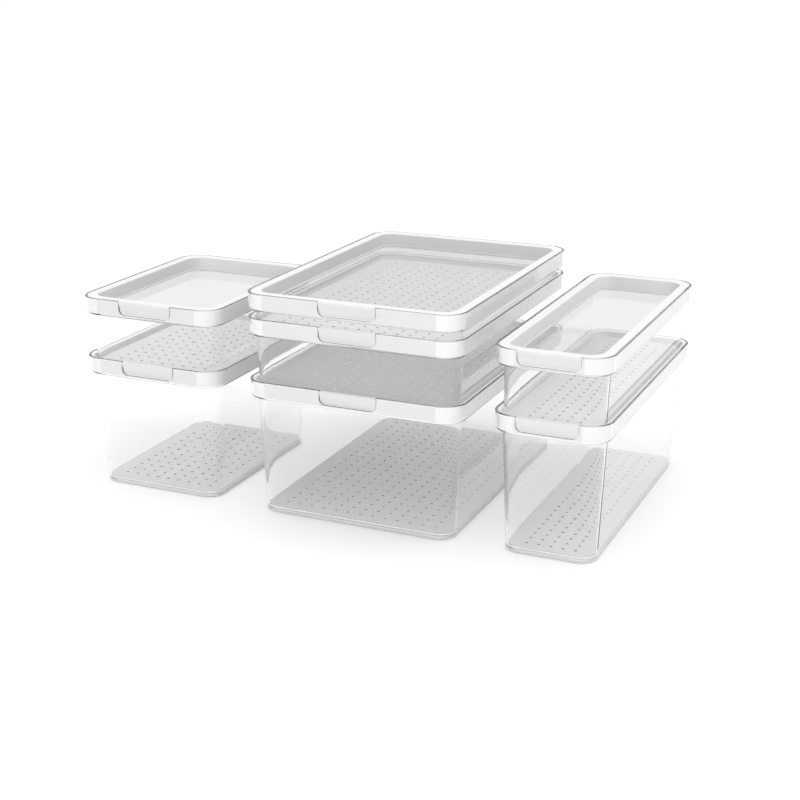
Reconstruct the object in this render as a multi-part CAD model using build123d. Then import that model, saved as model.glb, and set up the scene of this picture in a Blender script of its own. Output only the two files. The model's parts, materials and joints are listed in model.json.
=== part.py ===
from build123d import *
import os
from dataclasses import dataclass

# Fridge organizer: seven clear stacking bins in three stacks, three lids on top.
# Millimetres, +Z up, the fronts with the finger notches face -Y.
# The origin is at the middle of the whole set's footprint, on the shelf.

# Footprints, measured over the collar's top edge
middle_width = 220.0
middle_length = 315.0
right_width = 109.0
right_length = 313.0
left_width = 156.0
left_length = 214.0

# How the three stacks stand beside each other
left_gap = 32.0
right_gap = 27.0
left_setback = 5.5
right_setback = 2.5

# Bin heights from the foot to the collar's top edge, and how deep one sits in another
deep_height = 134.5
mid_height = 73.0
tray_height = 36.0
nest_depth = 12.0

# Collar: the stepped-out band round the mouth of each bin
collar_height = 17.3
collar_wall = 2.5
collar_radius = 22.0
collar_lean = 0.6
collar_edge_radius = 3.0
collar_step = 6.0

# Walls: how far they have drawn in at the foot of each height of bin, and their corners
wall = 2.0
wall_radius = 20.0
deep_draw = 11.2
deep_foot_radius = 16.0
mid_draw = 7.4
mid_foot_radius = 18.5
tray_draw = 6.5
tray_foot_radius = 19.5
foot_edge_radius = 1.8
foot_height = 1.8
foot_width = 6.0
floor_thickness = 2.5
floor_edge_radius = 0.5

# Finger notch in the front of the collar
notch_width = 58.0
notch_depth = 14.0
notch_radius = 6.0

# White rim that lines the collar and carries what stands on the bin
rim_fit = 0.15
rim_wall = 2.95
ledge_thickness = 1.8
ledge_reach = 4.4
ledge_radius = 16.0

# Leaning tab in the notch: flush with the collar at its top, set back at its foot
tab_face = 0.2
tab_edge = 2.0
tab_setback = 4.7
tab_fit = 0.3

# Lid: a white frame with a sunk clear window
flange_thickness = 1.2
flange_fit = 0.3
lid_wall = 1.1
lid_wall_fit = 0.3
window_sink = 12.3
window_thickness = 1.2
window_fit = 0.1
lip_thickness = 1.0
lip_width = 2.5

# Perforated mat on each bin's floor, narrow enough to lift out past the ledge
mat_thickness = 1.8
mat_clearance = 0.6
mat_lift_fit = 0.5
hole_radius = 1.45

# Hole counts across and along, and the spacing both ways, for each footprint
middle_holes = (13, 21)
middle_spacing = (13.0, 13.0)
right_holes = (5, 23)
right_spacing = (11.65, 11.9)
left_holes = (9, 13)
left_spacing = (12.15, 13.0)

# Insets of the nested faces from the collar's outline
rim_outer = collar_wall + rim_fit
rim_inner = rim_outer + rim_wall
ledge_inner = rim_inner + ledge_reach
lid_outer = ledge_inner + lid_wall_fit
lid_inner = lid_outer + lid_wall
lid_inner_radius = ledge_radius - lid_wall_fit - lid_wall
floor_z = foot_height + floor_thickness


@dataclass(frozen=True)
class Footprint:
    """One stack's outline over the collar and the place of its centre."""

    width: float
    length: float
    center_x: float
    center_y: float
    holes: tuple
    spacing: tuple

    @property
    def front(self):
        return -self.length / 2


@dataclass(frozen=True)
class Bin:
    """One bin of a stack: its name, height, foot level and foot inset."""

    name: str
    height: float
    foot_z: float
    draw: float
    foot_radius: float
    lidded: bool


def rounded_face(plan, inset, z, radius):
    """A rounded rectangle at height z, inset from the collar's outline."""
    return Pos(0, 0, z) * RectangleRounded(plan.width - 2 * inset, plan.length - 2 * inset, radius)


def block(plan, low_z, high_z, inset, radius=None):
    """A straight solid; its corners share the collar's centres unless a radius is given."""
    if radius is None:
        radius = collar_radius - inset
    return extrude(rounded_face(plan, inset, low_z, radius), high_z - low_z)


def tapered(plan, low, high):
    """A solid between two outlines, each given as its height, inset and corner radius."""
    return loft([rounded_face(plan, inset, z, radius) for z, inset, radius in (low, high)], ruled=True)


def lowest_edges(solid):
    """The edges of the solid's lowest level."""
    return solid.edges().group_by(Axis.Z)[0]


def notch_tool(plan, height, reach, fit=0.0):
    """The finger notch: open at the top, rounded at its two lower corners."""
    tall = 2 * notch_depth
    profile = RectangleRounded(notch_width - 2 * fit, tall - 2 * fit, notch_radius)
    before_front = Plane.XZ.offset(1.0 - plan.front)
    return extrude(before_front * Pos(0, height - notch_depth + tall / 2) * profile, -(reach + 1.0))


def before_tab(plan, height):
    """All that lies in front of the tab's leaning face, over the notch's width."""
    low = height - notch_depth
    outside = plan.front - 1.0
    face = plan.front + tab_face
    profile = Polyline(
        (outside, low),
        (plan.front + tab_setback, low),
        (face, height - tab_edge),
        (face, height + 1.0),
        (outside, height + 1.0),
        close=True,
    )
    return extrude(Plane.YZ * make_face(profile), notch_width / 2, both=True)


def make_shell(plan, item):
    """Clear body: drafted walls, raised floor inside a foot ring, and the collar."""
    step_z = item.height - collar_height
    foot = (0, item.draw, item.foot_radius)
    body = tapered(plan, foot, (step_z, collar_step, wall_radius))
    body = fillet(lowest_edges(body), foot_edge_radius)
    collar_foot = (step_z, collar_lean, collar_radius - collar_lean)
    collar = tapered(plan, collar_foot, (item.height, 0, collar_radius))
    collar = fillet(lowest_edges(collar), collar_edge_radius)

    mouth_z = step_z + wall
    floor = (floor_z, item.draw + wall, item.foot_radius - wall)
    inside = tapered(plan, floor, (mouth_z, collar_step + wall, wall_radius - wall))
    inside = fillet(lowest_edges(inside), floor_edge_radius)
    mouth = block(plan, mouth_z, item.height + 1.0, collar_wall)
    ring = foot_edge_radius + foot_width
    under = block(plan, -1.0, foot_height, item.draw + ring, item.foot_radius - ring)

    shell = body + collar - inside - mouth - under
    return shell - notch_tool(plan, item.height, rim_outer)


def make_rim(plan, item):
    """White liner ring in the collar, with its ledge, and the tab where no lid brings one."""
    low_z = item.height - collar_height + wall
    high_z = item.height - flange_thickness
    ring = block(plan, low_z, high_z, rim_outer) - block(plan, low_z, high_z, rim_inner)

    ledge_z = item.height - nest_depth
    ledge_low = ledge_z - ledge_thickness
    ledge = block(plan, ledge_low, ledge_z, rim_outer)
    ledge -= block(plan, ledge_low, ledge_z, ledge_inner, ledge_radius)
    rim = ring + ledge
    if not item.lidded:
        reach = rim_outer + rim_wall / 2
        rim += notch_tool(plan, item.height, reach, rim_fit) & block(plan, low_z, high_z, 0.0)
    scoop = before_tab(plan, item.height) & notch_tool(plan, item.height, tab_setback)
    return rim - scoop


def make_mat(plan, item):
    """Thin mat with rows of round holes, loose on the bin's floor."""
    inset = max(item.draw + wall + mat_clearance, ledge_inner + mat_lift_fit)
    outline = rounded_face(plan, inset, 0, item.foot_radius + item.draw - inset)
    holes = GridLocations(*plan.spacing, *plan.holes) * Circle(hole_radius)
    return Pos(0, 0, floor_z) * extrude(outline - holes, mat_thickness)


def make_lid_frame(plan, item):
    """White lid frame: flange with its tab, sunk wall and the lip that holds the window."""
    lip_z = item.height - window_sink - window_thickness
    low_z = lip_z - lip_thickness
    flange_z = item.height - flange_thickness
    flange = block(plan, flange_z, item.height, collar_wall + flange_fit)
    well = block(plan, low_z, item.height, lid_outer, ledge_radius - lid_wall_fit)
    recess = block(plan, lip_z, item.height, lid_inner, lid_inner_radius)
    opening = block(plan, low_z, lip_z, lid_inner + lip_width, lid_inner_radius - lip_width)

    bridge = notch_tool(plan, item.height, rim_inner, tab_fit) & block(plan, flange_z, item.height, 0.0)
    drop = notch_tool(plan, item.height, rim_outer - tab_fit, tab_fit)
    drop &= block(plan, item.height - notch_depth, item.height, 0.0)
    tab = bridge + drop - before_tab(plan, item.height)
    return flange + well + tab - recess - opening


def make_lid_window(plan, item):
    """Clear window that lies on the lid frame's lip."""
    low_z = item.height - window_sink - window_thickness
    high_z = low_z + window_thickness
    return block(plan, low_z, high_z, lid_inner + window_fit, lid_inner_radius - window_fit)


def stack_footprints():
    """The three footprints, centred on the whole set."""
    total_width = left_width + left_gap + middle_width + right_gap + right_width
    left_end = left_setback + left_length
    right_end = right_setback + right_length
    low_x = -total_width / 2
    front_y = -max(middle_length, left_end, right_end) / 2

    left_x = low_x + left_width / 2
    middle_x = low_x + left_width + left_gap + middle_width / 2
    right_x = -low_x - right_width / 2
    left_y = front_y + left_end - left_length / 2
    middle_y = front_y + middle_length / 2
    right_y = front_y + right_end - right_length / 2
    return {
        "left": Footprint(left_width, left_length, left_x, left_y, left_holes, left_spacing),
        "middle": Footprint(
            middle_width, middle_length, middle_x, middle_y, middle_holes, middle_spacing
        ),
        "right": Footprint(right_width, right_length, right_x, right_y, right_holes, right_spacing),
    }


def stack_bins(heights):
    """The bins of one stack from the shelf up; the top one has the lid."""
    sizes = {
        "deep": (deep_height, deep_draw, deep_foot_radius),
        "mid": (mid_height, mid_draw, mid_foot_radius),
        "tray": (tray_height, tray_draw, tray_foot_radius),
    }
    bins = []
    foot_z = 0.0
    for name in heights:
        height, draw, foot_radius = sizes[name]
        bins.append(Bin(name, height, foot_z, draw, foot_radius, name == heights[-1]))
        foot_z += height - nest_depth
    return bins


stacks = {"left": ["deep", "mid"], "middle": ["deep", "mid", "tray"], "right": ["deep", "mid"]}
makers = {"shell": make_shell, "rim": make_rim, "mat": make_mat}
lid_makers = {"lid_frame": make_lid_frame, "lid_window": make_lid_window}

os.makedirs("parts", exist_ok=True)
for stack_name, plan in stack_footprints().items():
    for item in stack_bins(stacks[stack_name]):
        pieces = {**makers, **lid_makers} if item.lidded else makers
        place = Pos(plan.center_x, plan.center_y, item.foot_z)
        for piece_name, maker in pieces.items():
            piece = place * maker(plan, item)
            export_step(piece, f"parts/{stack_name}_{item.name}_{piece_name}.step")
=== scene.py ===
"""Looks of the fridge organizer: clear stacking bins, white rims, sunk lids, grey mats.

Metres, +Z up, the finger notches face -Y. Each moulded piece is rebuilt with its
rounded edges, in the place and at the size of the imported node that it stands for.
"""

import json
import logging
import math
from dataclasses import dataclass, field
from enum import Enum
from typing import Callable, Optional, Union

import bmesh
import bpy
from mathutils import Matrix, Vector

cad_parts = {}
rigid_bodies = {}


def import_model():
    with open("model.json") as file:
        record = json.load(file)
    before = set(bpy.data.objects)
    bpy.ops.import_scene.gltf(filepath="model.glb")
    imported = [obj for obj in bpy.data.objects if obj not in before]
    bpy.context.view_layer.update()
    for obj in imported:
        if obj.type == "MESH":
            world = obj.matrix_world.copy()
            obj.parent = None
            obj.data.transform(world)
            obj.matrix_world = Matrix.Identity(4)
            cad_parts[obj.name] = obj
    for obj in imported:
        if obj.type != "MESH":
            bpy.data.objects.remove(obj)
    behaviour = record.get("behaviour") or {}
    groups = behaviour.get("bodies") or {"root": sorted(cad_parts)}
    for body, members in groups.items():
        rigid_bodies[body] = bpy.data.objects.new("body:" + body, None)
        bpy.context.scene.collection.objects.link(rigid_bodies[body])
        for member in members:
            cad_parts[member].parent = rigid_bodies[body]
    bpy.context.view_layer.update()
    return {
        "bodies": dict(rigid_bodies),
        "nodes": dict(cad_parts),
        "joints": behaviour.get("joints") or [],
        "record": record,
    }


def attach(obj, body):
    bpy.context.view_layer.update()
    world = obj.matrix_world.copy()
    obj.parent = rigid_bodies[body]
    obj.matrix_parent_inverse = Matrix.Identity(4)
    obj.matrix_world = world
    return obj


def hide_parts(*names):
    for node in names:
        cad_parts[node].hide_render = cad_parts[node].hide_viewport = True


LOG = logging.getLogger("fridge_organizer")

MM = 0.001

# Shared sizes of the moulded bins, in millimetres.
COLLAR_RADIUS = 22.0
COLLAR_HEIGHT = 17.3
COLLAR_WALL = 2.5
COLLAR_LEAN = 0.6
COLLAR_EDGE = 3.0
COLLAR_STEP = 6.0
WALL = 2.0
FOOT_HEIGHT = 1.8
FOOT_WIDTH = 6.0
FOOT_EDGE = 1.8
FLOOR = 2.5
NEST_DEPTH = 12.0
NOTCH_WIDTH = 58.0
NOTCH_DEPTH = 14.0
NOTCH_RADIUS = 6.0
RIM_OUTER = 2.65
RIM_INNER = 5.6
LEDGE_INNER = 10.0
LEDGE_THICKNESS = 1.8
RIM_TAB_FIT = 0.15
TAB_FACE = 0.2
TAB_EDGE = 2.0
TAB_SETBACK = 4.7
TAB_FIT = 0.3
FLANGE = 1.2
FLANGE_FIT = 0.3
LID_OUTER = 10.3
LID_INNER = 11.4
LID_LIP_WIDTH = 2.5
WINDOW_SINK = 12.3
WINDOW = 1.2
LID_LIP = 1.0
MAT = 1.8

# Each height of bin: its height, how far its walls draw in at the foot, and its foot's corner.
BIN_SIZES = {"deep": (134.5, 11.2, 16.0), "mid": (73.0, 7.4, 18.5), "tray": (36.0, 6.5, 19.5)}

# Where the centres of the corner arcs lie, measured in from the collar's outline. The lid's
# well, the ledge and the top of the drafted wall share one.
COLLAR_CENTRE = COLLAR_RADIUS
WELL_CENTRE = 26.0

# After this many bounces a ray passes clear plastic straight, so that corners don't turn black.
TRAPPED_AFTER = 6.0

# The colour sockets of Blender's Mix node: its two inputs and its output, by number.
MIX_COLOUR_SOCKETS = (6, 7, 2)

# How finely a corner, an edge rounding and the notch's corners are drawn, in segments.
CORNER_STEPS = 20
EDGE_STEPS = 4
NOTCH_STEPS = 10

# Support points: their distance from a rounding and from a corner arc, in millimetres, their
# largest share of the rounding's radius, and how many times over they must fit on a side.
SUPPORT = 0.5
CORNER_SUPPORT = 0.8
SUPPORT_SHARE = 0.25
SUPPORT_ROOM = 2.5

# Which faces get another finish: how near to an edge they lie, in millimetres, and the part of
# their normal along an axis below which they stand edge-on to it, or past which they face it.
EDGE_BAND = 0.45
EDGE_ON = 0.3
FACES_DOWN = -0.9
FACES_UP = 0.9

# How far a cutting solid runs past what it cuts, and a flat level past its last corner.
CUT_SPARE = 2.0
LEVEL_END = 2.0

# How far the paper lies below the feet, so that the two don't share a plane.
PAPER_DROP = 0.2

Point = tuple[float, float]
Colour = Union[str, bpy.types.NodeSocket]
CentreOf = Callable[[float, float], float]
FaceTest = Callable[[Vector, Vector], bool]


def linear(code: str) -> tuple[float, float, float, float]:
    """Turns an sRGB hex colour to linear light.

    Args:
        code: Six hex digits, such as "f2f3f3".

    Returns:
        The colour as linear red, green, blue and an alpha of 1.
    """
    channels = [int(code[i : i + 2], 16) / 255 for i in (0, 2, 4)]
    lit = [c / 12.92 if c <= 0.04045 else ((c + 0.055) / 1.055) ** 2.4 for c in channels]
    return (lit[0], lit[1], lit[2], 1.0)


def add_node(tree: bpy.types.NodeTree, kind: str, settings: Optional[dict] = None, **links) -> bpy.types.Node:
    """Adds one node to a tree.

    Args:
        tree: The node tree.
        kind: The node's type, such as "ShaderNodeTexNoise".
        settings: Values by socket name or number, and node properties by name.
        **links: Sockets to link, by input name with underscores for spaces.

    Returns:
        The new node.
    """
    node = tree.nodes.new(kind)
    for name, value in (settings or {}).items():
        if isinstance(name, int) or name in node.inputs:
            node.inputs[name].default_value = value
        else:
            setattr(node, name, value)
    for name, socket in links.items():
        key = int(name[1:]) if name[1:].isdigit() else name.replace("_", " ")
        tree.links.new(socket, node.inputs[key])
    return node


def new_tree(name: str) -> tuple[bpy.types.Material, bpy.types.NodeTree, bpy.types.Node]:
    """Makes an empty material.

    Args:
        name: The material's name.

    Returns:
        The material, its node tree and its output node.
    """
    material = bpy.data.materials.new(name)
    material.use_nodes = True
    material.node_tree.nodes.clear()
    output = add_node(material.node_tree, "ShaderNodeOutputMaterial")
    return material, material.node_tree, output


@dataclass(frozen=True)
class ClearMoulding:
    """Injection-moulded clear PET: see-through walls with thin grey outlines where they turn away."""

    name: str = "clear_moulded_pet"
    tint: str = "fefefe"
    grazing: str = "84878a"
    grazing_power: float = 9.0
    ior: float = 1.4
    roughness: float = 0.0
    frost: float = 0.0
    shadow: str = "fefefe"

    def build(self) -> bpy.types.Material:
        """Builds the material: it refracts what the eye sees, and lets the lamps' light through.

        Returns:
            The material.
        """
        material, tree, output = new_tree(self.name)
        turned = add_node(tree, "ShaderNodeLayerWeight", {"Blend": 0.5})
        outline = add_node(
            tree, "ShaderNodeMath", {"operation": "POWER", 1: self.grazing_power}, _0=turned.outputs["Facing"]
        )
        colour = blend(tree, outline.outputs[0], self.tint, self.grazing)
        body = add_node(
            tree,
            "ShaderNodeBsdfPrincipled",
            {"IOR": self.ior, "Roughness": self.roughness, "Transmission Weight": 1.0 - self.frost},
            Base_Color=colour,
        )
        clear = add_node(tree, "ShaderNodeBsdfTransparent", {"Color": linear(self.shadow)})
        path = add_node(tree, "ShaderNodeLightPath")
        trapped = add_node(
            tree,
            "ShaderNodeMath",
            {"operation": "GREATER_THAN", 1: TRAPPED_AFTER},
            _0=path.outputs["Ray Depth"],
        )
        either = add_node(
            tree, "ShaderNodeMath", {"operation": "MAXIMUM"}, _0=lamp_rays(tree), _1=trapped.outputs[0]
        )
        mix = add_node(
            tree, "ShaderNodeMixShader", _0=either.outputs[0], _1=body.outputs[0], _2=clear.outputs[0]
        )
        tree.links.new(mix.outputs[0], output.inputs["Surface"])
        return material


@dataclass(frozen=True)
class SatinMoulding:
    """Injection-moulded white polypropylene: an even soft sheen with a fine spark texture."""

    name: str = "white_moulded_polypropylene"
    colour: str = "f6f7f7"
    shade: str = "f2f3f3"
    ior: float = 1.49
    roughness: float = 0.38
    cloud_mm: float = 60.0
    grain_mm: float = 0.6
    grain_depth_mm: float = 0.1
    bump: float = 0.04
    passes: float = 0.9

    def build(self) -> bpy.types.Material:
        """Builds the material: faint cloudiness of the moulding and its fine grain.

        Returns:
            The material.
        """
        material, tree, output = new_tree(self.name)
        place = add_node(tree, "ShaderNodeTexCoord")
        cloud, grain = (
            add_node(
                tree,
                "ShaderNodeTexNoise",
                {"Scale": 1 / (size_mm * MM), "Detail": 2.0},
                Vector=place.outputs["Object"],
            )
            for size_mm in (self.cloud_mm, self.grain_mm)
        )
        bump = add_node(
            tree,
            "ShaderNodeBump",
            {"Strength": self.bump, "Distance": self.grain_depth_mm * MM},
            Height=grain.outputs["Fac"],
        )
        body = add_node(
            tree,
            "ShaderNodeBsdfPrincipled",
            {"IOR": self.ior, "Roughness": self.roughness},
            Base_Color=blend(tree, cloud.outputs["Fac"], self.shade, self.colour),
            Normal=bump.outputs["Normal"],
        )
        let_light_through(tree, body, output, self.passes)
        return material


@dataclass(frozen=True)
class MatSheet:
    """Die-cut milky EVA sheet: matte pale grey with a fine closed-cell grain, lit from all sides."""

    name: str = "grey_eva_sheet"
    colour: str = "eaebec"
    shade: str = "e4e5e6"
    ior: float = 1.48
    roughness: float = 0.62
    mottle_mm: float = 14.0
    cell_mm: float = 0.9
    cell_depth_mm: float = 0.15
    bump: float = 0.12
    passes: float = 0.98
    # The walls of the holes: painted shade, darker than the sheet.
    cut: str = "9da0a2"

    def build(self) -> bpy.types.Material:
        """Builds the material: mottled grey, the sheet's small cells, and a painted tone on the cut walls of
        its holes: painted shade in the plain sheet, painted light in the copy under the tray.

        Returns:
            The material.
        """
        material, tree, output = new_tree(self.name)
        place = add_node(tree, "ShaderNodeTexCoord")
        mottle = add_node(
            tree,
            "ShaderNodeTexNoise",
            {"Scale": 1 / (self.mottle_mm * MM), "Detail": 4.0, "Roughness": 0.6},
            Vector=place.outputs["Object"],
        )
        cells = add_node(
            tree,
            "ShaderNodeTexVoronoi",
            {"Scale": 1 / (self.cell_mm * MM)},
            Vector=place.outputs["Object"],
        )
        colour = blend(tree, mottle.outputs["Fac"], self.shade, self.colour)
        shape = add_node(tree, "ShaderNodeNewGeometry")
        facing = add_node(tree, "ShaderNodeSeparateXYZ", Vector=shape.outputs["True Normal"])
        level = add_node(tree, "ShaderNodeMath", {"operation": "ABSOLUTE"}, _0=facing.outputs["Z"])
        # Faces that stand edge-on to the sheet, the walls of the holes, get the painted hole tone.
        painted_hole_tone = blend(tree, level.outputs[0], self.cut, colour)
        bump = add_node(
            tree,
            "ShaderNodeBump",
            {"Strength": self.bump, "Distance": self.cell_depth_mm * MM},
            Height=cells.outputs["Distance"],
        )
        body = add_node(
            tree,
            "ShaderNodeBsdfPrincipled",
            {"IOR": self.ior, "Roughness": self.roughness},
            Base_Color=painted_hole_tone,
            Normal=bump.outputs["Normal"],
        )
        let_light_through(tree, body, output, self.passes)
        return material


@dataclass(frozen=True)
class PaperSweep:
    """Matte white background paper: fades to white for the eye and keeps soft shadows."""

    name: str = "white_paper_sweep"
    colour: str = "f0f0f1"
    glow: float = 0.24

    def build(self) -> bpy.types.Material:
        """Builds the material: diffuse paper with a glow that only the eye's rays meet.

        Returns:
            The material.
        """
        material, tree, output = new_tree(self.name)
        paper = add_node(tree, "ShaderNodeBsdfDiffuse", {"Color": linear(self.colour)})
        seen = seen_by_eye(tree)
        strength = add_node(tree, "ShaderNodeMath", {"operation": "MULTIPLY", 1: self.glow}, _0=seen)
        glow = add_node(tree, "ShaderNodeEmission", {"Color": (1, 1, 1, 1)}, Strength=strength.outputs[0])
        both = add_node(tree, "ShaderNodeAddShader", _0=paper.outputs[0], _1=glow.outputs[0])
        tree.links.new(both.outputs[0], output.inputs["Surface"])
        return material


def blend(
    tree: bpy.types.NodeTree, part: bpy.types.NodeSocket, first: str, second: Colour
) -> bpy.types.NodeSocket:
    """Adds a node that mixes two colours.

    Args:
        tree: The node tree.
        part: How much of the second colour there is, from 0 to 1.
        first: The first colour, as sRGB hex.
        second: The second colour, as sRGB hex or as a socket.

    Returns:
        The mixed colour's socket.
    """
    low, high, mixed = MIX_COLOUR_SOCKETS
    mix = add_node(tree, "ShaderNodeMix", {"data_type": "RGBA", low: linear(first)}, _0=part)
    if isinstance(second, str):
        mix.inputs[high].default_value = linear(second)
    else:
        tree.links.new(second, mix.inputs[high])
    return mix.outputs[mixed]


def seen_by_eye(tree: bpy.types.NodeTree) -> bpy.types.NodeSocket:
    """Adds the nodes that tell the eye's, glossy and transmitted rays from lighting rays.

    Args:
        tree: The node tree.

    Returns:
        A socket that is 1 for rays that carry what the eye sees.
    """
    path = add_node(tree, "ShaderNodeLightPath")
    first = add_node(
        tree,
        "ShaderNodeMath",
        {"operation": "MAXIMUM"},
        _0=path.outputs["Is Camera Ray"],
        _1=path.outputs["Is Glossy Ray"],
    )
    second = add_node(
        tree,
        "ShaderNodeMath",
        {"operation": "MAXIMUM"},
        _0=first.outputs[0],
        _1=path.outputs["Is Transmission Ray"],
    )
    return second.outputs[0]


def lamp_rays(tree: bpy.types.NodeTree) -> bpy.types.NodeSocket:
    """Adds the nodes that tell the rays that gather lamp light from all others.

    Args:
        tree: The node tree.

    Returns:
        A socket that is 1 for shadow and diffuse rays.
    """
    path = add_node(tree, "ShaderNodeLightPath")
    either = add_node(
        tree,
        "ShaderNodeMath",
        {"operation": "MAXIMUM"},
        _0=path.outputs["Is Shadow Ray"],
        _1=path.outputs["Is Diffuse Ray"],
    )
    return either.outputs[0]


def let_light_through(
    tree: bpy.types.NodeTree, body: bpy.types.Node, output: bpy.types.Node, share: float
) -> None:
    """Ends a thin piece's material: part of the lamps' light passes through it.

    Args:
        tree: The node tree.
        body: The surface's shader.
        output: The material's output.
        share: The part of the light that passes each face.
    """
    through = add_node(tree, "ShaderNodeBsdfTransparent")
    part = add_node(tree, "ShaderNodeMath", {"operation": "MULTIPLY", 1: share}, _0=lamp_rays(tree))
    mix = add_node(
        tree, "ShaderNodeMixShader", _0=part.outputs[0], _1=body.outputs[0], _2=through.outputs[0]
    )
    tree.links.new(mix.outputs[0], output.inputs["Surface"])


def rounded(points: list[Point], radii: list[float], steps: int = EDGE_STEPS) -> list[Point]:
    """Rounds the corners of a closed outline and adds support points beside them.

    Args:
        points: Corners of the outline, in order.
        radii: Rounding radius of each corner; 0 leaves it sharp.
        steps: Segments in each rounding.

    Returns:
        The finer outline.
    """
    out: list[Point] = []
    count = len(points)
    for i, here in enumerate(points):
        corner = Vector(here)
        before = Vector(points[i - 1]) - corner
        after = Vector(points[(i + 1) % count]) - corner
        radius = radii[i]
        if radius <= 0:
            out.append(here)
            continue
        turn = before.angle(after)
        reach = radius / math.tan(turn / 2)
        start = corner + before.normalized() * reach
        end = corner + after.normalized() * reach
        middle = (before.normalized() + after.normalized()).normalized()
        centre = corner + middle * (radius / math.sin(turn / 2))
        pad = min(SUPPORT, SUPPORT_SHARE * radius)
        if before.length > SUPPORT_ROOM * (reach + pad):
            out.append(tuple(start + before.normalized() * pad))
        first = start - centre
        sweep = math.pi - turn
        sign = 1 if first.x * (end - centre).y - first.y * (end - centre).x > 0 else -1
        for k in range(steps + 1):
            angle = sign * sweep * k / steps
            out.append(
                (
                    centre.x + first.x * math.cos(angle) - first.y * math.sin(angle),
                    centre.y + first.x * math.sin(angle) + first.y * math.cos(angle),
                )
            )
        if after.length > SUPPORT_ROOM * (reach + pad):
            out.append(tuple(end + after.normalized() * pad))
    return out


@dataclass(frozen=True)
class Footprint:
    """Outline of a stack over its collar and the place of its centre, in millimetres."""

    width: float
    length: float
    centre_x: float
    centre_y: float

    @property
    def front(self) -> float:
        """The y of the collar's front face."""
        return self.centre_y - self.length / 2

    def loop(self, inset: float, z: float, centre: float) -> list[Vector]:
        """Points round a rounded rectangle that lies parallel to the collar's outline.

        Args:
            inset: Distance inward from the collar's outline, mm.
            z: Height, mm.
            centre: Inset of the corner arcs' centres, mm.

        Returns:
            The points in order, in metres, with support points beside each corner.
        """
        radius = centre - inset
        half_x = self.width / 2 - inset - radius
        half_y = self.length / 2 - inset - radius
        pad = CORNER_SUPPORT
        out = []
        for quarter, (sx, sy) in enumerate(((1, 1), (-1, 1), (-1, -1), (1, -1))):
            start = quarter * math.pi / 2
            arc = [start + math.pi / 2 * k / CORNER_STEPS for k in range(CORNER_STEPS + 1)]
            ring = [(radius * math.cos(a), radius * math.sin(a)) for a in arc]
            lead = (ring[0][0] + pad * math.sin(start), ring[0][1] - pad * math.cos(start))
            end = start + math.pi / 2
            tail = (ring[-1][0] - pad * math.sin(end), ring[-1][1] + pad * math.cos(end))
            for dx, dy in [lead] + ring + [tail]:
                x = self.centre_x + sx * half_x + dx
                y = self.centre_y + sy * half_y + dy
                out.append(Vector((x, y, z)) * MM)
        return out


def well_centre(inset: float, z: float) -> float:
    """Gives the corner centre of a rim or a lid: the well's corners are their own.

    Args:
        inset: Distance inward from the collar's outline, mm.
        z: Height, mm.

    Returns:
        Inset of the corner arc's centre, mm.
    """
    between = (RIM_INNER + LEDGE_INNER) / 2
    return COLLAR_CENTRE if inset < between else WELL_CENTRE


def swept(name: str, plan: Footprint, outline: list[Point], centre_of: CentreOf) -> bpy.types.Object:
    """Sweeps a closed outline of (inset, height) round a footprint into a ring.

    Args:
        name: The piece's name.
        plan: The footprint.
        outline: Closed outline, mm.
        centre_of: Gives the corner arc's centre at an inset and height.

    Returns:
        The ring as an object.
    """
    mesh = bmesh.new()
    rings = [plan.loop(inset, z, centre_of(inset, z)) for inset, z in outline]
    loops = [[mesh.verts.new(p) for p in ring] for ring in rings]
    bridge(mesh, loops, closed=True)
    return finished(name, mesh)


def capped(name: str, plan: Footprint, outline: list[Point], centre_of: CentreOf) -> bpy.types.Object:
    """Sweeps an open outline round a footprint and closes both of its ends flat.

    Args:
        name: The piece's name.
        plan: The footprint.
        outline: Open outline, mm; both ends get a flat cap.
        centre_of: Gives the corner arc's centre at an inset and height.

    Returns:
        The closed solid as an object.
    """
    mesh = bmesh.new()
    rings = [plan.loop(inset, z, centre_of(inset, z)) for inset, z in outline]
    loops = [[mesh.verts.new(p) for p in ring] for ring in rings]
    bridge(mesh, loops, closed=False)
    mesh.faces.new(loops[0])
    mesh.faces.new(list(reversed(loops[-1])))
    return finished(name, mesh)


def bridge(mesh: bmesh.types.BMesh, loops: list[list[bmesh.types.BMVert]], closed: bool) -> None:
    """Joins neighbouring loops with four-sided faces.

    Args:
        mesh: The mesh that holds the loops.
        loops: Loops of equal length.
        closed: Whether the last loop joins the first.
    """
    count = len(loops[0])
    last = len(loops) if closed else len(loops) - 1
    for i in range(last):
        low, high = loops[i], loops[(i + 1) % len(loops)]
        for k in range(count):
            n = (k + 1) % count
            mesh.faces.new((low[k], low[n], high[n], high[k]))


def finished(name: str, mesh: bmesh.types.BMesh) -> bpy.types.Object:
    """Turns a mesh under construction into an object in the scene.

    Args:
        name: The object's name.
        mesh: The mesh; it is freed.

    Returns:
        The object.
    """
    bmesh.ops.recalc_face_normals(mesh, faces=mesh.faces)
    data = bpy.data.meshes.new(name)
    mesh.to_mesh(data)
    mesh.free()
    piece = bpy.data.objects.new(name, data)
    bpy.context.scene.collection.objects.link(piece)
    return piece


def notch_outline(top: float, high: float, fit: float = 0.0) -> list[Point]:
    """Outline of the finger notch, seen from the front.

    Args:
        top: Height of the collar's top edge, mm.
        high: Height where the outline ends, mm.
        fit: How much smaller than the notch it is all round, mm.

    Returns:
        Points (x from the middle, z), mm, in order from the left end to the right.
    """
    half = NOTCH_WIDTH / 2 - fit
    low = top - NOTCH_DEPTH + fit
    bend = top - TAB_EDGE
    corners = [(-half, high), (-half, bend), (-half, low), (half, low), (half, bend), (half, high)]
    return rounded(corners, [0, 0, NOTCH_RADIUS, NOTCH_RADIUS, 0, 0], steps=NOTCH_STEPS)


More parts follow.
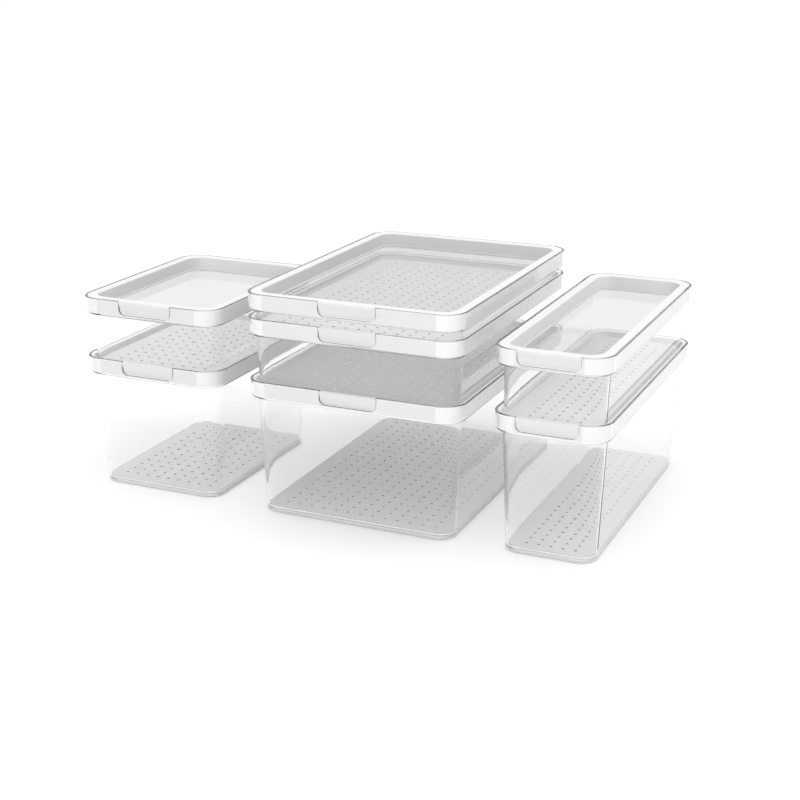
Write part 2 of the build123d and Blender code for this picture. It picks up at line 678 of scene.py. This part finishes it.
def notch_prism(
    plan: Footprint, outline: list[Point], front: float, back: float, lean: float
) -> bpy.types.Object:
    """Makes a prism along Y with the notch's outline, whose back may lean below the bend.

    Args:
        plan: The footprint.
        outline: Points of notch_outline.
        front: Inset of the flat front, mm; negative is outside the collar.
        back: Inset of the back from the bend up, mm.
        lean: Inset of the back at the outline's lowest point, mm.

    Returns:
        The prism as an object.
    """
    bend = outline[1][1]
    low = min(z for _, z in outline)
    mesh = bmesh.new()
    near, far = [], []
    for x, z in outline:
        part = max(0.0, (bend - z) / (bend - low))
        px = plan.centre_x + x
        near.append(mesh.verts.new(Vector((px, plan.front + front, z)) * MM))
        far.append(mesh.verts.new(Vector((px, plan.front + back + part * (lean - back), z)) * MM))
    bridge(mesh, [near, far], closed=False)
    mesh.faces.new(near)
    mesh.faces.new(far[1:-1])
    mesh.faces.new((far[0], far[1], far[-2], far[-1]))
    return finished("notch_prism", mesh)


def side_prism(plan: Footprint, outline: list[Point], half: float) -> bpy.types.Object:
    """Makes a prism along X from an outline of (inset, z).

    Args:
        plan: The footprint.
        outline: Closed outline, mm.
        half: Half the prism's width, mm.

    Returns:
        The prism as an object.
    """
    mesh = bmesh.new()
    ends = []
    for side in (-half, half):
        x = plan.centre_x + side
        ends.append([mesh.verts.new(Vector((x, plan.front + inset, z)) * MM) for inset, z in outline])
    bridge(mesh, ends, closed=False)
    mesh.faces.new(ends[0])
    mesh.faces.new(list(reversed(ends[1])))
    return finished("side_prism", mesh)


def combine(piece: bpy.types.Object, tool: bpy.types.Object, operation: str) -> None:
    """Cuts a solid out of another or joins it on, and deletes the tool.

    Args:
        piece: The solid that stays.
        tool: The solid that cuts or joins.
        operation: "DIFFERENCE" or "UNION".
    """
    cut = piece.modifiers.new("cut", "BOOLEAN")
    cut.operation = operation
    cut.solver = "EXACT"
    cut.object = tool
    bake_modifiers(piece)
    bpy.data.objects.remove(tool, do_unlink=True)


def bake_modifiers(piece: bpy.types.Object) -> None:
    """Applies every modifier of a piece to its mesh.

    Args:
        piece: The piece.
    """
    graph = bpy.context.evaluated_depsgraph_get()
    data = bpy.data.meshes.new_from_object(piece.evaluated_get(graph))
    piece.modifiers.clear()
    piece.data = data


def smooth(piece: bpy.types.Object, sharp_degrees: float = 35.0) -> None:
    """Shades a piece smooth apart from its sharp edges.

    Args:
        piece: The piece.
        sharp_degrees: Edges that turn by more than this stay crisp.
    """
    piece.data.shade_smooth()
    piece.data.set_sharp_from_angle(angle=math.radians(sharp_degrees))


class Finish(Enum):
    """The finishes of the set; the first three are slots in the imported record."""

    CLEAR = "clear_plastic"
    WHITE = "white_plastic"
    MAT = "mat_plastic"
    CUT_EDGE = "clear_painted_edge_shade"
    FOOT = "clear_frosted_foot"
    FOOT_EDGE = "clear_foot_painted_contact_shade"
    WINDOW = "clear_window"
    WELL = "white_shaded_well"
    TAB = "white_painted_tab_shade"
    NOTCH_SIDE = "clear_notch_side_painted_shade"
    PAINTED_HIGHLIGHT = "clear_floor_painted_highlight"
    MAT_PAINTED_SHADE = "mat_painted_shade"


@dataclass
class Finishes:
    """The materials of the set, one for each finish."""

    made: dict[Finish, bpy.types.Material] = field(default_factory=dict)

    def build(self) -> None:
        """Builds every material once."""
        frosted = {"roughness": 0.3, "frost": 0.85}
        self.made = {
            # See-through walls with thin grey outlines.
            Finish.CLEAR: ClearMoulding().build(),
            # Even white with a soft sheen.
            Finish.WHITE: SatinMoulding().build(),
            # Matte pale grey, with painted shade on the walls of its holes.
            Finish.MAT: MatSheet().build(),
            # The collar's top edge: a painted shade line, grey round the white rim.
            Finish.CUT_EDGE: ClearMoulding(name="clear_pet_painted_edge_shade", tint="a6aaad").build(),
            # A pale band under the walls, with no view through the foot.
            Finish.FOOT: ClearMoulding(name="clear_pet_frosted_foot", tint="f2f3f3", **frosted).build(),
            # Painted contact shade: the foot's dark line, and a darker shadow that it casts on the shelf.
            Finish.FOOT_EDGE: ClearMoulding(
                name="clear_pet_foot_painted_contact_shade", tint="9a9da0", roughness=0.3, frost=0.95, shadow="707274"
            ).build(),
            # Painted highlight: a bright line where floor and wall meet.
            Finish.PAINTED_HIGHLIGHT: ClearMoulding(
                name="clear_pet_floor_painted_highlight", tint="ffffff", roughness=0.3, frost=0.9
            ).build(),
            # A nearly invisible pane that greys what lies below it.
            Finish.WINDOW: ClearMoulding(name="clear_pet_window", tint="ebebec", ior=1.18).build(),
            # Painted shade: a dark line in the gap beside the tab.
            Finish.NOTCH_SIDE: ClearMoulding(name="clear_pet_notch_side_painted_shade", tint="7c8083", frost=0.8).build(),
            # Painted shade: the mat under the tray drawn darker grey, with painted light in its holes.
            Finish.MAT_PAINTED_SHADE: MatSheet(
                name="grey_eva_sheet_painted_shade", colour="c4c6c7", shade="bec0c2", cut="d8dadb"
            ).build(),
            # Painted shade: the sunk wall of the lid drawn a little greyer than its flange.
            Finish.WELL: SatinMoulding(
                name="white_polypropylene_painted_well_shade", colour="eeeeef", shade="e9eaea"
            ).build(),
            # Painted shade: the tab in the notch, whose face turns a little downward, drawn a little greyer.
            Finish.TAB: SatinMoulding(
                name="white_polypropylene_painted_tab_shade", colour="e8e9e9", shade="e4e5e5"
            ).build(),
        }

    def dress(self, piece: bpy.types.Object, finish: Finish) -> None:
        """Gives a piece one finish all over.

        Args:
            piece: The piece.
            finish: The finish.
        """
        piece.data.materials.clear()
        piece.data.materials.append(self.made[finish])
        for face in piece.data.polygons:
            face.material_index = 0

    def dress_part(self, piece: bpy.types.Object, finish: Finish, chosen: FaceTest) -> None:
        """Gives the chosen faces of a dressed piece another finish.

        Args:
            piece: The piece.
            finish: The finish of the chosen faces.
            chosen: Tells from a face's middle, in mm, and its normal whether it is one of them.
        """
        piece.data.materials.append(self.made[finish])
        index = len(piece.data.materials) - 1
        for face in piece.data.polygons:
            if chosen(face.center / MM, face.normal):
                face.material_index = index


@dataclass
class StackingBin:
    """One bin: clear shell with collar and notch, white rim, grey mat."""

    name: str
    plan: Footprint
    foot: float
    height: float
    draw: float
    foot_radius: float
    lidded: bool

    @property
    def top(self) -> float:
        """Height of the collar's top edge, mm."""
        return self.foot + self.height

    def wall_centre(self, inset: float, z: float) -> float:
        """Gives the corner centre of the shell: the collar's, or the drafted wall's.

        Args:
            inset: Distance inward from the collar's outline, mm.
            z: Height, mm.

        Returns:
            Inset of the corner arc's centre, mm.
        """
        if inset < (COLLAR_LEAN + COLLAR_EDGE + COLLAR_STEP) / 2:
            return COLLAR_CENTRE
        step = self.top - COLLAR_HEIGHT
        down = min(1.0, max(0.0, (step - z) / (step - self.foot)))
        return WELL_CENTRE + down * (self.draw + self.foot_radius - WELL_CENTRE)

    def shell_outline(self) -> list[Point]:
        """Outline of the clear shell from under the floor, up outside, to the floor inside.

        Returns:
            Open outline of (inset, z), mm.
        """
        step = self.top - COLLAR_HEIGHT
        mouth = step + WALL
        under = self.draw + FOOT_EDGE + FOOT_WIDTH
        floor = self.foot + FOOT_HEIGHT + FLOOR
        part = MAT / (mouth - floor)
        inside = self.draw + WALL + part * (COLLAR_STEP - self.draw)
        corners = [
            (under, self.foot + FOOT_HEIGHT),
            (under, self.foot),
            (self.draw, self.foot),
            (COLLAR_STEP, step),
            (COLLAR_LEAN, step),
            (0.0, self.top),
            (COLLAR_WALL, self.top),
            (COLLAR_WALL, mouth),
            (COLLAR_STEP + WALL, mouth),
            (inside, floor + MAT),
            (self.draw + WALL, floor),
        ]
        # One rounding radius for each corner; the collar's foot and the outer foot are the soft ones.
        radii = [0.0, 0.4, FOOT_EDGE, 0.5, COLLAR_EDGE, 0.4, 0.4, 0.3, 0.8, 0.0, 0.5]
        return self.opened(corners, radii)

    @staticmethod
    def opened(corners: list[Point], radii: list[float]) -> list[Point]:
        """Rounds an open outline whose two end levels run flat to the middle.

        Args:
            corners: Corners in order; the first and last level run inward.
            radii: Rounding radius of each corner.

        Returns:
            The finer open outline, ending one step inside each flat level.
        """
        first = (corners[0][0] + LEVEL_END, corners[0][1])
        last = (corners[-1][0] + LEVEL_END, corners[-1][1])
        return rounded([first] + corners + [last], [0.0] + radii + [0.0])

    def build_shell(self) -> bpy.types.Object:
        """Builds the clear shell with the notch cut through its collar.

        Returns:
            The shell.
        """
        shell = capped(f"{self.name}_clear_shell", self.plan, self.shell_outline(), self.wall_centre)
        outline = notch_outline(self.top, self.top + CUT_SPARE)
        combine(shell, notch_prism(self.plan, outline, -CUT_SPARE, RIM_OUTER, RIM_OUTER), "DIFFERENCE")
        smooth(shell)
        return shell

    def is_tab(self, middle: Vector, normal: Vector) -> bool:
        """Tells whether a face is on the leaning front of the tab in the notch.

        Args:
            middle: The face's middle, mm.
            normal: The face's normal.

        Returns:
            Whether it is.
        """
        across = abs(middle.x - self.plan.centre_x) < NOTCH_WIDTH / 2
        at_front = middle.y < self.plan.front + TAB_SETBACK
        return across and at_front and middle.z > self.top - NOTCH_DEPTH and normal.y < -EDGE_ON

    def build_rim(self) -> bpy.types.Object:
        """Builds the white rim with its ledge and, with no lid on it, the leaning tab.

        Returns:
            The rim.
        """
        low = self.top - COLLAR_HEIGHT + WALL
        high = self.top - FLANGE
        ledge = self.top - NEST_DEPTH
        under = ledge - LEDGE_THICKNESS
        corners = [
            (RIM_OUTER, low),
            (RIM_OUTER, high),
            (RIM_INNER, high),
            (RIM_INNER, ledge),
            (LEDGE_INNER, ledge),
            (LEDGE_INNER, under),
            (RIM_INNER, under),
            (RIM_INNER, low),
        ]
        # One rounding radius for each corner; the rim's inner top edge is the softest.
        radii = [0.3, 0.4, 0.6, 0.4, 0.5, 0.5, 0.3, 0.3]
        rim = swept(f"{self.name}_white_rim", self.plan, rounded(corners, radii), well_centre)
        if not self.lidded:
            behind = (RIM_OUTER + RIM_INNER) / 2
            outline = notch_outline(self.top, high, RIM_TAB_FIT)
            combine(rim, notch_prism(self.plan, outline, TAB_FACE, behind, behind), "UNION")
        scoop = notch_outline(self.top, self.top + CUT_SPARE)
        tool = notch_prism(self.plan, scoop, -CUT_SPARE, TAB_FACE, TAB_SETBACK)
        combine(rim, tool, "DIFFERENCE")
        smooth(rim)
        return rim

    def is_cut_edge(self, middle: Vector, normal: Vector) -> bool:
        """Tells whether a face of the shell is part of the collar's top edge.

        Args:
            middle: The face's middle, mm.
            normal: The face's normal, which doesn't matter here.

        Returns:
            Whether it is.
        """
        return middle.z > self.top - EDGE_BAND

    def is_notch_side(self, middle: Vector, normal: Vector) -> bool:
        """Tells whether a face of the shell is a cut side or the bottom of the notch.

        Args:
            middle: The face's middle, mm.
            normal: The face's normal.

        Returns:
            Whether it is one.
        """
        across = abs(middle.x - self.plan.centre_x) <= NOTCH_WIDTH / 2 + EDGE_BAND
        at_front = middle.y < self.plan.front + RIM_OUTER
        high = middle.z > self.top - NOTCH_DEPTH - EDGE_BAND
        return across and at_front and high and abs(normal.y) < EDGE_ON

    def is_foot(self, middle: Vector, normal: Vector) -> bool:
        """Tells whether a face of the shell belongs to its foot or its underside.

        Args:
            middle: The face's middle, mm.
            normal: The face's normal, which doesn't matter here.

        Returns:
            Whether it does.
        """
        return middle.z < self.foot + FOOT_HEIGHT + FLOOR - EDGE_BAND

    def is_foot_edge(self, middle: Vector, normal: Vector) -> bool:
        """Tells whether a face belongs to the rounding under the foot's outer edge, which gets the painted
        contact shade.

        Args:
            middle: The face's middle, mm.
            normal: The face's normal.

        Returns:
            Whether it does.
        """
        return self.is_foot(middle, normal) and FACES_DOWN < normal.z < -EDGE_ON

    def is_painted_highlight(self, middle: Vector, normal: Vector) -> bool:
        """Tells whether a face of the shell lies beside the mat, where floor and wall meet, and gets the
        painted highlight.

        Args:
            middle: The face's middle, mm.
            normal: The face's normal.

        Returns:
            Whether it does.
        """
        floor = self.foot + FOOT_HEIGHT + FLOOR
        away = Vector((middle.x - self.plan.centre_x, middle.y - self.plan.centre_y))
        beside = floor < middle.z < floor + MAT
        return beside and normal.z < FACES_UP and away.dot(normal.xy) < 0

    def build(self, finishes: Finishes) -> None:
        """Builds and dresses the bin's pieces on their bodies.

        Args:
            finishes: The set's materials.
        """
        for piece, node, finish in (
            (self.build_shell(), "shell", Finish.CLEAR),
            (self.build_rim(), "rim", Finish.WHITE),
        ):
            finishes.dress(piece, finish)
            if finish is Finish.CLEAR:
                finishes.dress_part(piece, Finish.FOOT, self.is_foot)
                # Only a bin that stands on the shelf gets the painted contact shade at its foot.
                if self.foot == 0.0:
                    finishes.dress_part(piece, Finish.FOOT_EDGE, self.is_foot_edge)
                # A painted highlight beside the mat.
                finishes.dress_part(piece, Finish.PAINTED_HIGHLIGHT, self.is_painted_highlight)
                # The collar's top edge gets a painted shade line.
                finishes.dress_part(piece, Finish.CUT_EDGE, self.is_cut_edge)
                # The cut sides and bottom of the notch get painted shade.
                finishes.dress_part(piece, Finish.NOTCH_SIDE, self.is_notch_side)
            else:
                # The leaning face of the tab gets painted shade.
                finishes.dress_part(piece, Finish.TAB, self.is_tab)
            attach(piece, self.name)
            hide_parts(f"{self.name}_{node}")
            LOG.info("built %s", piece.name)


@dataclass
class SunkLid:
    """The lid of a top bin: white frame with a well, and a clear window in it."""

    bin: StackingBin

    @property
    def name(self) -> str:
        """The lid's name, which is also its body's."""
        return f"{self.bin.name}_lid"

    def build_frame(self) -> bpy.types.Object:
        """Builds the white frame: flange, well and the lip under the window.

        Returns:
            The frame.
        """
        top = self.bin.top
        lip = top - WINDOW_SINK - WINDOW
        low = lip - LID_LIP
        flange = COLLAR_WALL + FLANGE_FIT
        corners = [
            (flange, top - FLANGE),
            (flange, top),
            (LID_INNER, top),
            (LID_INNER, lip),
            (LID_INNER + LID_LIP_WIDTH, lip),
            (LID_INNER + LID_LIP_WIDTH, low),
            (LID_OUTER, low),
            (LID_OUTER, top - FLANGE),
        ]
        # One rounding radius for each corner; the edge between flange and well is the softest.
        radii = [0.2, 0.4, 0.9, 0.2, 0.3, 0.3, 0.6, 0.4]
        frame = swept(f"{self.name}_white_frame", self.bin.plan, rounded(corners, radii), well_centre)
        combine(frame, self.build_tab(), "UNION")
        smooth(frame)
        return frame

    def build_tab(self) -> bpy.types.Object:
        """Builds the tab that drops from the flange into the notch and leans back.

        Returns:
            The tab.
        """
        top = self.bin.top
        behind = RIM_OUTER - TAB_FIT
        slope = (NOTCH_DEPTH - TAB_EDGE) / (TAB_SETBACK - TAB_FACE)
        tip = top - TAB_EDGE - slope * (behind - TAB_FACE)
        corners = [
            (TAB_FACE, top),
            (TAB_FACE, top - TAB_EDGE),
            (behind, tip),
            (behind, top - FLANGE),
            (RIM_INNER, top - FLANGE),
            (RIM_INNER, top),
        ]
        # One rounding radius for each corner; the two that join the flange stay sharp.
        radii = [0.5, 0.6, 0.0, 0.2, 0.0, 0.0]
        return side_prism(self.bin.plan, rounded(corners, radii), NOTCH_WIDTH / 2 - TAB_FIT)

    def is_well(self, middle: Vector, normal: Vector) -> bool:
        """Tells whether a face of the frame is part of the sunk well.

        Args:
            middle: The face's middle, mm.
            normal: The face's normal.

        Returns:
            Whether it is.
        """
        inset = min(
            self.bin.plan.width / 2 - abs(middle.x - self.bin.plan.centre_x),
            self.bin.plan.length / 2 - abs(middle.y - self.bin.plan.centre_y),
        )
        upright = abs(normal.z) < EDGE_ON
        return upright and inset > LEDGE_INNER and middle.z < self.bin.top - EDGE_BAND

    def build(self, finishes: Finishes) -> None:
        """Builds and dresses the lid's frame on its body.

        Args:
            finishes: The set's materials.
        """
        frame = self.build_frame()
        finishes.dress(frame, Finish.WHITE)
        # The upright walls of the well get painted shade.
        finishes.dress_part(frame, Finish.WELL, self.is_well)
        # The leaning face of the tab gets painted shade.
        finishes.dress_part(frame, Finish.TAB, self.bin.is_tab)
        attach(frame, self.name)
        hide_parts(f"{self.name}_frame")
        LOG.info("built %s", frame.name)


@dataclass(frozen=True)
class SoftBox:
    """One square studio lamp: where it hangs, where it looks, its side and its power."""

    name: str
    place: tuple[float, float, float]
    aim: tuple[float, float, float]
    side: float
    watts: float

    def build(self) -> None:
        """Hangs the lamp, out of sight of the pieces' reflections."""
        data = bpy.data.lights.new(self.name, "AREA")
        data.shape = "SQUARE"
        data.size = self.side
        data.energy = self.watts
        lamp = bpy.data.objects.new(self.name, data)
        lamp.location = self.place
        lamp.visible_glossy = False
        ray = Vector(self.aim) - Vector(self.place)
        lamp.rotation_euler = ray.to_track_quat("-Z", "Y").to_euler()
        bpy.context.scene.collection.objects.link(lamp)


@dataclass
class Studio:
    """Pale floor, soft lamps, plain world and the camera."""

    floor_size: float = 12.0
    lamps: tuple[SoftBox, ...] = (
        SoftBox("top_box", (0.6, -0.2, 1.9), (0, 0, 0), 2.0, 5.0),
        SoftBox("front_box", (0.6, -2.3, 0.8), (0, 0, 0.1), 2.0, 12.0),
    )
    lens_mm: float = 66.9
    sensor_mm: float = 36.0
    clip_end: float = 100.0
    camera_place: tuple[float, float, float] = (0.5953, -1.3247, 0.5542)
    pitch_deg: float = 71.87
    roll_deg: float = 0.0
    yaw_deg: float = 23.85
    world_fill: float = 0.9

    def build_floor(self) -> None:
        """Lays the background paper."""
        mesh = bmesh.new()
        bmesh.ops.create_grid(mesh, x_segments=1, y_segments=1, size=self.floor_size)
        floor = finished("paper_floor", mesh)
        floor.location = (0, 0, -PAPER_DROP * MM)
        floor.data.materials.append(PaperSweep().build())

    def build_world(self) -> None:
        """Sets a plain world: white to the eye, a soft fill as light."""
        world = bpy.data.worlds.new("white_studio")
        bpy.context.scene.world = world
        world.use_nodes = True
        tree = world.node_tree
        tree.nodes.clear()
        output = add_node(tree, "ShaderNodeOutputWorld")
        level = add_node(
            tree,
            "ShaderNodeMapRange",
            {"To Min": self.world_fill, "To Max": 1.0},
            Value=seen_by_eye(tree),
        )
        sky = add_node(tree, "ShaderNodeBackground", {"Color": (1, 1, 1, 1)}, Strength=level.outputs[0])
        tree.links.new(sky.outputs[0], output.inputs["Surface"])

    def build_camera(self) -> None:
        """Sets the camera at the photograph's place and lens."""
        data = bpy.data.cameras.new("view")
        data.lens = self.lens_mm
        data.sensor_width = self.sensor_mm
        data.clip_end = self.clip_end
        camera = bpy.data.objects.new("view", data)
        camera.location = self.camera_place
        camera.rotation_euler = [math.radians(v) for v in (self.pitch_deg, self.roll_deg, self.yaw_deg)]
        bpy.context.scene.collection.objects.link(camera)
        bpy.context.scene.camera = camera

    def build(self) -> None:
        """Builds the whole stage."""
        self.build_floor()
        self.build_world()
        for lamp in self.lamps:
            lamp.build()
        self.build_camera()
        bpy.context.scene.view_settings.view_transform = "Standard"


@dataclass
class FridgeOrganizer:
    """The whole set: three stacks of bins and the lids of the top ones."""

    finishes: Finishes = field(default_factory=Finishes)

    def stacks(self) -> dict[str, tuple[Footprint, list[str]]]:
        """The footprint and the bins of each stack, from the shelf up.

        Returns:
            Stack name to its footprint and bin names.
        """
        return {
            "left": (Footprint(156.0, 214.0, -194.0, -45.25), ["deep", "mid"]),
            "middle": (Footprint(220.0, 315.0, 26.0, -0.25), ["deep", "mid", "tray"]),
            "right": (Footprint(109.0, 313.0, 217.5, 1.25), ["deep", "mid"]),
        }

    def build(self, nodes: dict[str, bpy.types.Object]) -> None:
        """Builds and dresses every piece.

        Args:
            nodes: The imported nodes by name.
        """
        self.finishes.build()
        for stack, (plan, names) in self.stacks().items():
            foot = 0.0
            for name in names:
                height, draw, foot_radius = BIN_SIZES[name]
                lidded = name == names[-1]
                item = StackingBin(f"{stack}_{name}", plan, foot, height, draw, foot_radius, lidded)
                item.build(self.finishes)
                # The mat under the tray gets the copy with painted shade, and painted light in its holes.
                sheet = Finish.MAT_PAINTED_SHADE if item.name == "middle_mid" else Finish.MAT
                self.finishes.dress(nodes[f"{item.name}_mat"], sheet)
                foot += height - NEST_DEPTH
            SunkLid(item).build(self.finishes)
            self.finishes.dress(nodes[f"{item.name}_lid_window"], Finish.WINDOW)


def main() -> None:
    """Loads the frame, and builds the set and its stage."""
    logging.basicConfig(level=logging.INFO)
    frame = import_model()
    FridgeOrganizer().build(frame["nodes"])
    Studio().build()


if __name__ == "__main__":
    main()
